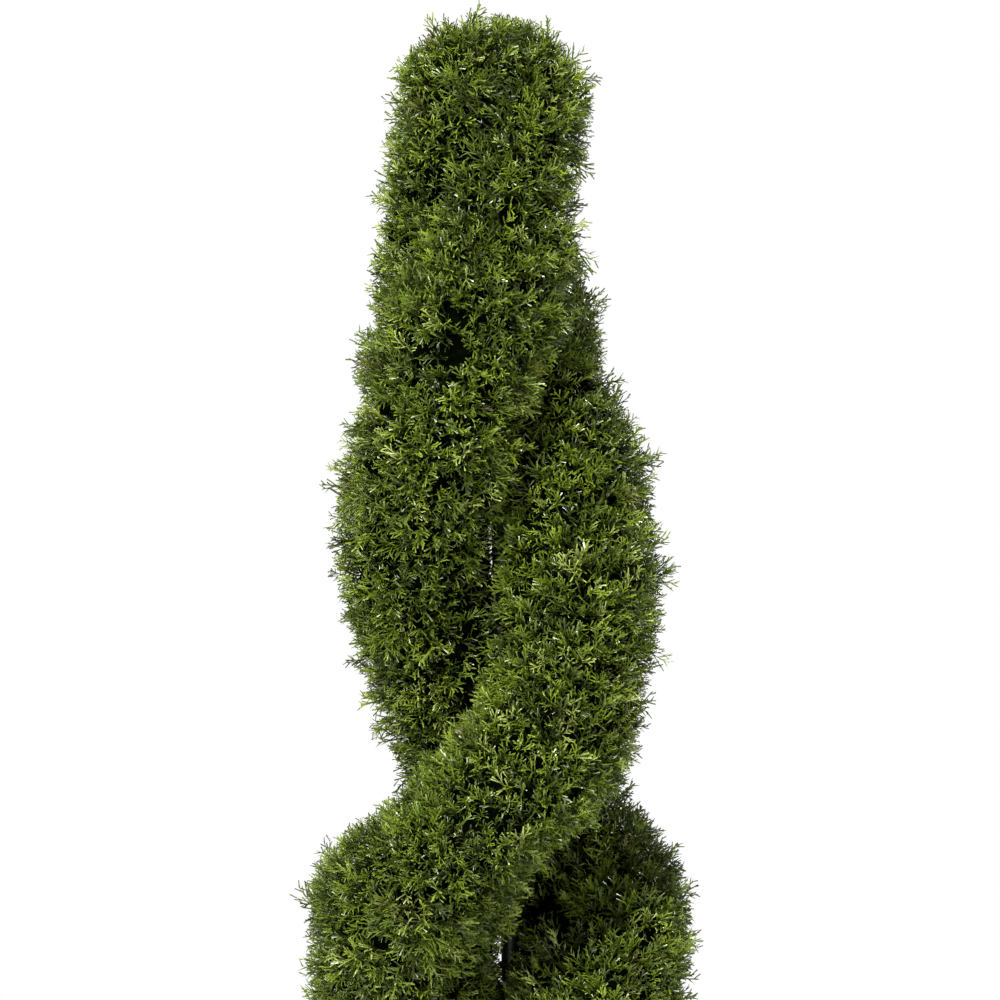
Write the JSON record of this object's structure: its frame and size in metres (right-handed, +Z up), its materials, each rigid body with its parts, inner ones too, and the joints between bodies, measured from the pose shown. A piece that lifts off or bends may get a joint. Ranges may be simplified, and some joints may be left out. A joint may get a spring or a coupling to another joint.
{
  "type": "artificial double spiral topiary",
  "caption": "Artificial cedar tree clipped into a double spiral: strands of plastic foliage wound round a slender leaning pole, set in a plain round pot with a cast filling.",
  "frame": {"origin": "centre of the pot's flat underside", "axes": "+Z up along the tree, +X to the right and -Y to the front as usually seen"},
  "size_m": [0.3845, 0.3774, 1.5],
  "materials": {
    "foliage": "semi-gloss moulded plastic sprigs, bright tips and dark gaps",
    "coated_wire": "satin dark coating",
    "pot_plastic": "matt moulded plastic",
    "cast_filling": "rough cast"
  },
  "bodies": {
    "root": {"filling": "cast_filling", "first_strand_arm": "coated_wire", "first_strand_clump_01": "foliage", "first_strand_clump_02": "foliage", "first_strand_clump_03": "foliage", "first_strand_clump_04": "foliage", "first_strand_clump_05": "foliage", "first_strand_clump_06": "foliage", "first_strand_clump_07": "foliage", "first_strand_clump_08": "foliage", "first_strand_clump_09": "foliage", "first_strand_clump_10": "foliage", "pole": "coated_wire", "pot": "pot_plastic", "second_strand_arm": "coated_wire", "second_strand_clump_01": "foliage", "second_strand_clump_02": "foliage", "second_strand_clump_03": "foliage", "second_strand_clump_04": "foliage", "second_strand_clump_05": "foliage", "second_strand_clump_06": "foliage", "second_strand_clump_07": "foliage", "second_strand_clump_08": "foliage", "second_strand_clump_09": "foliage", "second_strand_clump_10": "foliage"}
  },
  "joints": []
}
